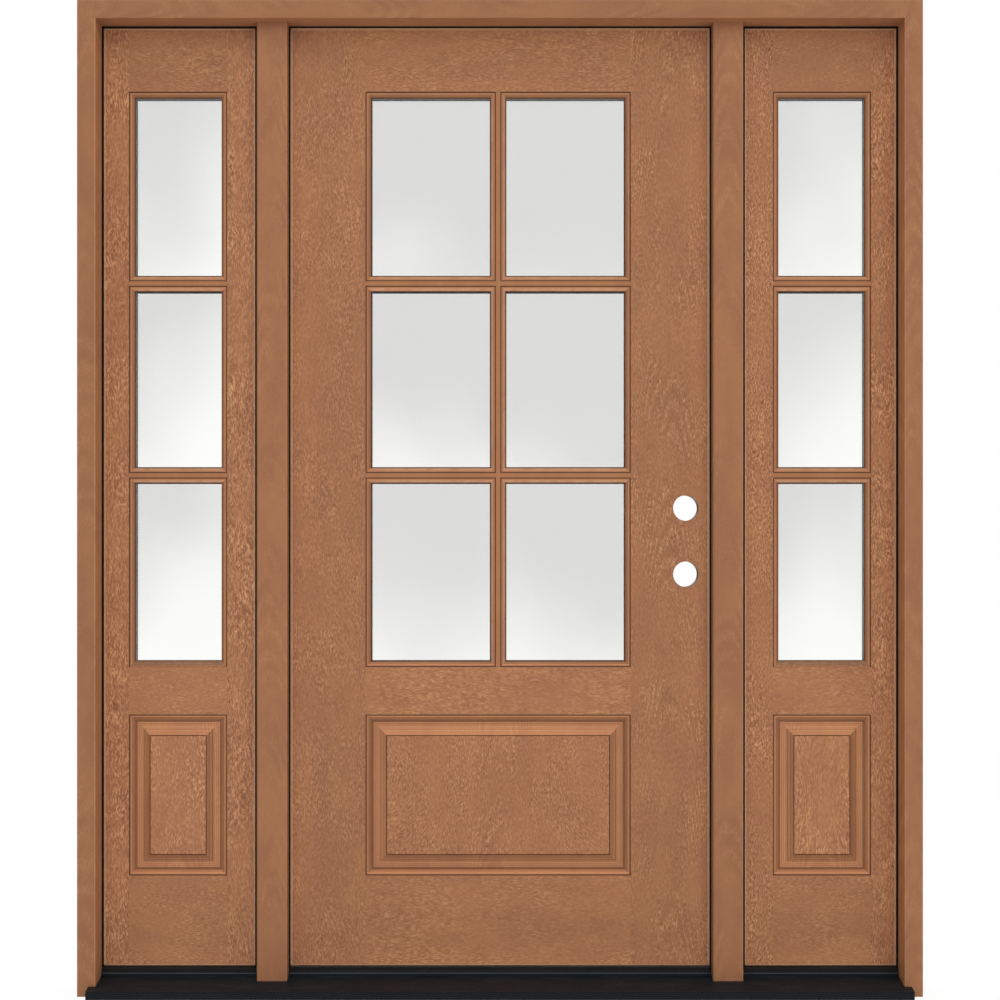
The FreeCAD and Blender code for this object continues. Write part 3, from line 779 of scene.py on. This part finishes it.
# The up, down, left and right entries lighten or darken faces by the way they turn, as painted light and
# shade; the edge strength sets the painted highlight and thinner stain on eased edges.
BARE = {"marks": 0.0, "figure": 0.2, "lean": 0.0, "arch": 0.0, "clouds": 0.8, "wear": 0.5,
        "up": 0.0, "down": 0.0, "left": 0.0, "right": 0.0, "around": ()}
STILE_LOOK = {**BARE, "figure": 0.25, "lean": 0.2, "around": ("lites", "panel")}
RAIL_LOOK = {**BARE, "marks": 0.4, "figure": 0.3, "lean": 0.15}
PANEL_LOOK = {**BARE, "marks": 0.6, "figure": 0.5, "lean": 0.2, "around": ("panel",)}
# Painted light: the muntins' faces turned up, and more so those turned down, are lighter, against the shade
# under the bars.
MUNTIN_LOOK = {**BARE, "marks": 0.08, "up": 0.15, "down": 0.35, "around": ("muntins",)}
# Painted light and shade on the panels by facing: the top bevel lighter, as if lit from above.
DOOR_PANEL_SLOPE_LIGHT = {"up": 0.46, "down": 0.0, "left": 0.10, "right": -0.03}
FIXED_PANEL_SLOPE_LIGHT = {"up": 0.28, "down": -0.1, "left": -0.06, "right": -0.14}


def member_looks():
    """Grain axis, tone and look of each slab member."""
    looks = {}
    for slab in SLABS:
        fixed = slab != "door"
        for stile in STILES[slab]:
            # The outer sidelight stiles are a little lighter, painted light against the jamb's shade.
            tone = 1.01 if "inner" in stile else 1.05 if fixed else 0.99
            looks[stile] = ("Z", tone, {
                **STILE_LOOK, "marks": 0.75 if fixed else 0.5, "arch": middle(stile, 0)})
        # The last value lightens or darkens each rail's up-facing faces, as painted light and shade.
        for place, tone, around, up in (
                ("top", 1.0 if fixed else 1.02, ("lites",), 0.0),
                ("mid", 1.09, ("panel",) if fixed else ("lites", "panel"), -0.35 if fixed else 0.1),
                ("bottom", 1.06, ("panel",), 0.35)):
            rail = slab + "_" + place + "_rail"
            looks[rail] = ("X", tone, {**RAIL_LOOK, "arch": middle(rail, 2), "around": around, "up": up})
        panel = slab + "_panel"
        looks[panel] = ("Z", 1.17 if fixed else 1.06, {
            **PANEL_LOOK, "arch": middle(panel, 0), **(FIXED_PANEL_SLOPE_LIGHT if fixed else DOOR_PANEL_SLOPE_LIGHT)})
        looks[slab + "_muntins"] = ("Z", 1.06, MUNTIN_LOOK)
    looks["door_lock_stile"][2]["figure"] = 0.7
    return looks


def visible_border(slab):
    """Low and high corners of what shows of a slab's outer face between the stops."""
    first, last = STILES[slab]
    gap = SIDE_GAP if slab == "door" else 0.0
    low_seal = MULLION_SEAL_SHOW if slab == "right" else SEAL_SHOW
    high_seal = MULLION_SEAL_SHOW if slab == "left" else SEAL_SHOW
    low = (span(first, 0)[0] - gap + STOP_REACH + low_seal, 0.0, span(first, 2)[0])
    high = (span(last, 0)[1] + gap - STOP_REACH - high_seal, 0.0, span("head_jamb", 2)[0] - SEAL_SHOW)
    return low, high


class DOORUNIT_OT_finish_slabs(bpy.types.Operator):
    """Stains the door and both sidelights, member by member"""
    bl_idname = "door_unit.finish_slabs"
    bl_label = "Finish slabs"

    def execute(self, context):
        mounts = {entry["name"]: entry for entry in frame["record"]["mounts"]}
        bores = [(mounts[name]["pos_m"], mounts[name]["dims"]["r_mm"] * MM)
                 for name in ("lower_lock_bore", "upper_lock_bore")]
        for seed, (member, (axis, tone, look)) in enumerate(sorted(member_looks().items())):
            material = stained_wood("stain_" + member, axis, tone, look, seed + 1, slab=member.split("_")[0],
                                    bores=bores if member == "door_lock_stile" else ())
            dress(member, material)
        return {"FINISHED"}


# Frame

FRAME_LOOK = {**BARE, "marks": 0.12, "figure": 0.5, "clouds": 1.0, "wear": 0.3}
# Painted light and shade: each frame member's faces lighter or darker by the way they turn, such as the
# head's underside and the jambs' inner sides.
MULLION = ("Z", 0.96, {"left": -0.25, "right": 0.06})
FRAME_MEMBERS = {
    "left_jamb": ("Z", 0.89, {"right": 0.50}),
    "right_jamb": ("Z", 0.95, {"left": 0.26}),
    "head_jamb": ("X", 0.91, {"down": 0.32}),
    "left_mullion": MULLION,
    "right_mullion": MULLION,
}
FRAME_SEED = 40


class DOORUNIT_OT_finish_frame(bpy.types.Operator):
    """Stains the jambs, the head and the mullions"""
    bl_idname = "door_unit.finish_frame"
    bl_label = "Finish frame"

    def execute(self, context):
        for seed, (member, (axis, tone, slope_light)) in enumerate(FRAME_MEMBERS.items()):
            look = {**FRAME_LOOK, "arch": middle(member, 2 if axis == "X" else 0), **slope_light}
            dress(member, stained_wood("stain_" + member, axis, tone, look, seed + FRAME_SEED))
        return {"FINISHED"}


# Glazing

class DOORUNIT_OT_glaze(bpy.types.Operator):
    """Finishes the insulating glass and adds its spacers and glazing beads"""
    bl_idname = "door_unit.glaze"
    bl_label = "Glaze"

    def execute(self, context):
        glazing = context.scene.door_glazing
        spacer = handled("spacer_bar", glazing.spacer, 0.45, streaks=0.2)
        sealant = handled("glazing_sealant", glazing.bead, 0.6, streaks=0.0, dust=0.05)
        for slab in SLABS:
            dress(slab + "_glass", glass_material(slab))
            low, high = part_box(slab + "_glass")
            self.add_spacer(slab, low, high, spacer)
            self.add_beads(slab, (low[1], high[1]), glazing, sealant)
        return {"FINISHED"}

    def add_spacer(self, slab, low, high, material):
        """A bar round the edge between the panes, with a shallow groove along its inner face."""
        y0, y1 = low[1] + PANE_THICKNESS + SPACER_SLACK, high[1] - PANE_THICKNESS - SPACER_SLACK
        centre, groove = (y0 + y1) / 2, 0.5 * MM
        outer, inner = 0.5 * MM, GLASS_BITE - 0.6 * MM
        section = [(outer, y0), (inner, y0),
                   (inner, centre - 3 * groove), (inner - groove, centre - 2 * groove),
                   (inner - groove, centre + 2 * groove), (inner, centre + 3 * groove),
                   (inner, y1), (outer, y1)]
        stations = ring_stations((low[0], low[2]), (high[0], high[2]))
        new_piece(slab + "_glass_spacer", lambda builder: run_section(builder, stations, section, True),
                  SLAB_BODY[slab], material)

    def add_beads(self, slab, faces, glazing, material):
        """A coved bead of sealant round every lite, on both faces of the glass."""
        width, tucked = glazing.bead_width, -0.1 * MM

        def build(builder):
            for low, high in lites(slab):
                for face, outward in ((faces[0], -1), (faces[1], 1)):
                    rise = glazing.bead_height * outward
                    section = [(tucked, face), (width, face), (width * 0.62, face + rise * 0.22),
                               (width * 0.3, face + rise * 0.55), (tucked, face + rise)]
                    run_section(builder, ring_stations(low, high), section, True)

        new_piece(slab + "_glazing_beads", build, SLAB_BODY[slab], material)


# Sill and seals

class DOORUNIT_OT_finish_sill(bpy.types.Operator):
    """Finishes the tread, its core, the threshold cap and the sidelight blocks"""
    bl_idname = "door_unit.finish_sill"
    bl_label = "Finish sill"

    def execute(self, context):
        hardware = context.scene.door_hardware
        top = span("sill_tread", 2)[1]
        # A painted highlight band just below the tread's top.
        lip = (top - 2.4 * MM, top - 0.7 * MM), hardware.lip
        tread = handled("coated_tread", hardware.tread, 0.5, specular=0.12, streaks=0.7, dust=0.04,
                        relief=0.05, lip=lip)
        core = handled("sill_core", hardware.cap, 0.65, specular=0.2, streaks=0.1, dust=0.2, relief=0.15)
        cap = handled("cap_composite", hardware.cap, 0.6, specular=0.12, dust=0.04, relief=0.08)
        for node, finish in (("sill_tread", tread), ("sill_base", core), ("threshold_cap", cap),
                             ("left_sill_block", cap), ("right_sill_block", cap)):
            dress(node, finish)
        return {"FINISHED"}


class DOORUNIT_OT_fit_seals(bpy.types.Operator):
    """Replaces the plain door weatherstrip by a foam bulb seal and finishes the other seals"""
    bl_idname = "door_unit.fit_seals"
    bl_label = "Fit seals"

    def execute(self, context):
        hardware = context.scene.door_hardware
        rubber = handled("seal_skin", hardware.seal, 0.75, specular=0.1, streaks=0.15, dust=0.02, relief=0.06)
        for node in ("left_gasket", "right_gasket", "door_sweep"):
            dress(node, rubber)
        low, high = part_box("door_weatherstrip")
        section = self.seal_section(low[1] + 0.1 * MM, high[1] - 0.1 * MM)
        stations = [(low[0], low[2], 1, 0), (low[0], high[2], 1, -1), (high[0], high[2], -1, -1),
                    (high[0], low[2], -1, 0)]
        seal = new_piece("door_bulb_seal", lambda builder: run_section(builder, stations, section, False),
                         "frame", rubber)
        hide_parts("door_weatherstrip")
        return {"FINISHED"}

    def seal_section(self, y0, y1):
        """A thin flap in the corner of the rabbet with a bulb at its edge, as (inward, y) points."""
        flap = [(0.4 * MM, y0), (0.4 * MM, y0 + 1.2 * MM), (6.0 * MM, y0 + 1.4 * MM)]
        bulb = rounded_section(6.6 * MM, STOP_REACH + SEAL_SHOW - 0.35 * MM, y0, y1, (y1 - y0) * 0.42)
        neck = bulb.index(min(bulb, key=lambda point: (point[0], -point[1])))
        return flap + (bulb[neck:] + bulb[:neck])[::-1] + [(6.0 * MM, y0)]


# Hinges

def cross_outline(reach, half_width):
    """The twelve corners of a cross-shaped driver recess."""
    quarter = [(reach, -half_width), (reach, half_width), (half_width, half_width)]
    points = []
    for turn in range(4):
        cosine, sine = round(math.cos(turn * math.pi / 2)), round(math.sin(turn * math.pi / 2))
        points += [(cosine * a - sine * b, sine * a + cosine * b) for a, b in quarter]
    return points


def circle_outline(radius, count=24):
    """The corners of a circle."""
    angles = [2 * math.pi * index / count for index in range(count)]
    return [(radius * math.cos(angle), radius * math.sin(angle)) for angle in angles]


def add_screw_head(builder, centre, outward, radius, turn):
    """A low domed screw head with a cross recess, standing on a face that looks along X."""
    place = Matrix.Translation(centre) @ Matrix.Diagonal((outward, 1, 1, 1)) @ Matrix.Rotation(turn, 4, "X")
    height = radius * 0.18
    foot, shoulder, crown, rim, floor = (
        [builder.verts.new(place @ Vector((level, a, b))) for a, b in outline]
        for outline, level in ((circle_outline(radius), 0.0),
                               (circle_outline(radius * 0.95), height * 0.55),
                               (circle_outline(radius * 0.72), height),
                               (cross_outline(radius * 0.50, radius * 0.12), height),
                               (cross_outline(radius * 0.40, radius * 0.07), height * 0.25)))
    for first, second in ((foot, shoulder), (shoulder, crown), (rim, floor)):
        join_rows(builder, first, second)
    builder.faces.new(floor)
    open_edges = [edge for edge in builder.edges if edge.is_boundary
                  and all(vertex in crown or vertex in rim for vertex in edge.verts)]
    bmesh.ops.triangle_fill(builder, use_beauty=True, edges=open_edges)


class DOORUNIT_OT_hang_door(bpy.types.Operator):
    """Finishes the hinges and drives their screws"""
    bl_idname = "door_unit.hang_door"
    bl_label = "Hang door"

    def execute(self, context):
        hardware = context.scene.door_hardware
        steel = handled("satin_steel", hardware.steel, 0.34, metallic=1.0, streaks=0.35, relief=0.02)
        screws = handled("screw_steel", hardware.steel, 0.28, metallic=1.0, streaks=0.1, relief=0.01)
        for body, face_x, outward in (("frame", span("left_mullion", 0)[1] - STOP_REACH, 1),
                                      ("door", span("door_hinge_stile", 0)[0], -1)):
            leaves = [height + "_hinge_" + body + "_leaf" for height in ("top", "middle", "bottom")]
            for leaf in leaves:
                dress(leaf, steel)
            new_piece(body + "_hinge_screws",
                      lambda builder: self.add_screws(builder, leaves, face_x, outward, hardware),
                      body, screws)
        return {"FINISHED"}

    def add_screws(self, builder, leaves, face_x, outward, hardware):
        """Screws in two staggered rows on each leaf's open face."""
        back = span("door_hinge_stile", 1)[1]
        gaps = hardware.screws_per_leaf - 1
        for leaf in leaves:
            for index in range(hardware.screws_per_leaf):
                z = middle(leaf, 2) + (index - gaps / 2) * SCREW_SPREAD / gaps
                y = back - (FAR_SCREW_ROW if index % 3 == 0 else NEAR_SCREW_ROW)
                add_screw_head(builder, (face_x, y, z), outward, hardware.screw_radius, 0.4 + index * 1.1)


# Stage

WHITE = (1.0, 1.0, 1.0, 1.0)
FLOOR_RADIUS = 14.0
FLOOR_FADE = (1.6, 4.5)
LAMP_DISTANCE = 5.0
CAMERA_SHIFT = 0.04


def floor_material(colour):
    """Pale floor that takes the object's shadow near by and fades into the white background."""
    material, tree, shader, place = new_material("studio_floor")
    tree.nodes.remove(shader)
    reach = add(tree, "ShaderNodeVectorMath", operation="LENGTH", inputs={"Vector": place["Object"]})
    glow = ramp(tree, reach.outputs["Value"], *FLOOR_FADE, 0.9, 1.0)
    lit = add(tree, "ShaderNodeBsdfDiffuse", inputs={"Color": rgba(colour)})
    white = add(tree, "ShaderNodeEmission", inputs={"Color": WHITE, "Strength": 1.0})
    blend = tree.nodes.new("ShaderNodeMixShader")
    for socket, value in zip(blend.inputs, (times(tree, seen_white(tree), glow), lit.outputs[0],
                                            white.outputs[0])):
        connect(tree, socket, value)
    connect(tree, tree.nodes["Material Output"].inputs["Surface"], blend.outputs[0])
    return material


class DOORUNIT_OT_set_stage(bpy.types.Operator):
    """Lays the floor and sets the lamps, the background and the camera"""
    bl_idname = "door_unit.set_stage"
    bl_label = "Set stage"

    def execute(self, context):
        stage = context.scene.door_stage
        self.add_floor(stage)
        self.add_lamp("key_lamp", stage.key, elevation=32, azimuth=12, spread=50)
        self.add_lamp("back_lamp", stage.back, elevation=55, azimuth=195, spread=40)
        self.set_world(context.scene, stage)
        self.set_camera(context.scene, stage)
        context.scene.view_settings.view_transform = "Standard"
        return {"FINISHED"}

    def add_floor(self, stage):
        """A round floor, wide enough to reach the horizon of every view."""
        floor = new_object("studio_floor", lambda builder: bmesh.ops.create_circle(
            builder, cap_ends=True, segments=64, radius=FLOOR_RADIUS))
        dress(floor, floor_material(stage.floor))

    def add_lamp(self, name, strength, elevation, azimuth, spread):
        """A soft sun; azimuth turns from straight in front towards the right."""
        lamp = bpy.data.lights.new(name, "SUN")
        lamp.energy = strength
        lamp.angle = math.radians(spread)
        holder = bpy.data.objects.new(name, lamp)
        up, turn = math.radians(elevation), math.radians(azimuth)
        towards = Vector((math.sin(turn) * math.cos(up), -math.cos(turn) * math.cos(up), math.sin(up)))
        holder.rotation_mode = "QUATERNION"
        holder.rotation_quaternion = towards.to_track_quat("Z", "Y")
        holder.location = towards * LAMP_DISTANCE
        holder.visible_glossy = False
        holder.visible_transmission = False
        bpy.context.scene.collection.objects.link(holder)

    def set_world(self, scene, stage):
        """White to the camera, in gloss and through glass; a soft grey light elsewhere."""
        world = scene.world or bpy.data.worlds.new("studio")
        scene.world = world
        world.use_nodes = True
        tree = world.node_tree
        strength = add(tree, "ShaderNodeMapRange",
                       inputs={"Value": seen_white(tree), "To Min": stage.ambient, "To Max": 1.0})
        fill(tree, tree.nodes["Background"], {"Color": WHITE, "Strength": strength.outputs[0]})

    def set_camera(self, scene, stage):
        """A level camera in front of the door's centre line."""
        camera = bpy.data.cameras.new("camera")
        camera.lens = stage.lens
        camera.shift_y = CAMERA_SHIFT
        holder = bpy.data.objects.new("camera", camera)
        holder.location = (0.0, -stage.distance, stage.height)
        holder.rotation_euler = (math.pi / 2, 0.0, 0.0)
        scene.collection.objects.link(holder)
        scene.camera = holder


# Sidebar

OPERATORS = (
    DOORUNIT_OT_finish_slabs,
    DOORUNIT_OT_finish_frame,
    DOORUNIT_OT_glaze,
    DOORUNIT_OT_finish_sill,
    DOORUNIT_OT_fit_seals,
    DOORUNIT_OT_hang_door,
    DOORUNIT_OT_set_stage,
)
SETTINGS = {
    "door_stain": StainSettings,
    "door_glazing": GlazingSettings,
    "door_hardware": HardwareSettings,
    "door_stage": StageSettings,
}


class DOORUNIT_PT_sidebar(bpy.types.Panel):
    """Steps and settings of the door unit"""
    bl_idname = "DOORUNIT_PT_sidebar"
    bl_label = "Door Unit"
    bl_space_type = "VIEW_3D"
    bl_region_type = "UI"
    bl_category = "Door Unit"

    def draw(self, context):
        for operator in OPERATORS:
            self.layout.operator(operator.bl_idname)
        for name, group in SETTINGS.items():
            column = self.layout.column(heading=group.__doc__)
            for setting in group.__annotations__:
                column.prop(getattr(context.scene, name), setting)


def register():
    """Registers the settings, the operators and the panel."""
    for name, group in SETTINGS.items():
        bpy.utils.register_class(group)
        setattr(bpy.types.Scene, name, PointerProperty(type=group))
    for operator in OPERATORS:
        bpy.utils.register_class(operator)
    bpy.utils.register_class(DOORUNIT_PT_sidebar)


def unregister():
    """Takes the panel, the operators and the settings out again."""
    bpy.utils.unregister_class(DOORUNIT_PT_sidebar)
    for operator in reversed(OPERATORS):
        bpy.utils.unregister_class(operator)
    for name, group in SETTINGS.items():
        delattr(bpy.types.Scene, name)
        bpy.utils.unregister_class(group)


def main():
    """Builds the finished door unit and writes the sizes of its frame and of its dressed model."""
    register()
    bpy.ops.door_unit.finish_slabs()
    bpy.ops.door_unit.finish_frame()
    bpy.ops.door_unit.glaze()
    bpy.ops.door_unit.finish_sill()
    bpy.ops.door_unit.fit_seals()
    bpy.ops.door_unit.hang_door()
    bpy.ops.door_unit.set_stage()


if __name__ == "__main__":
    main()
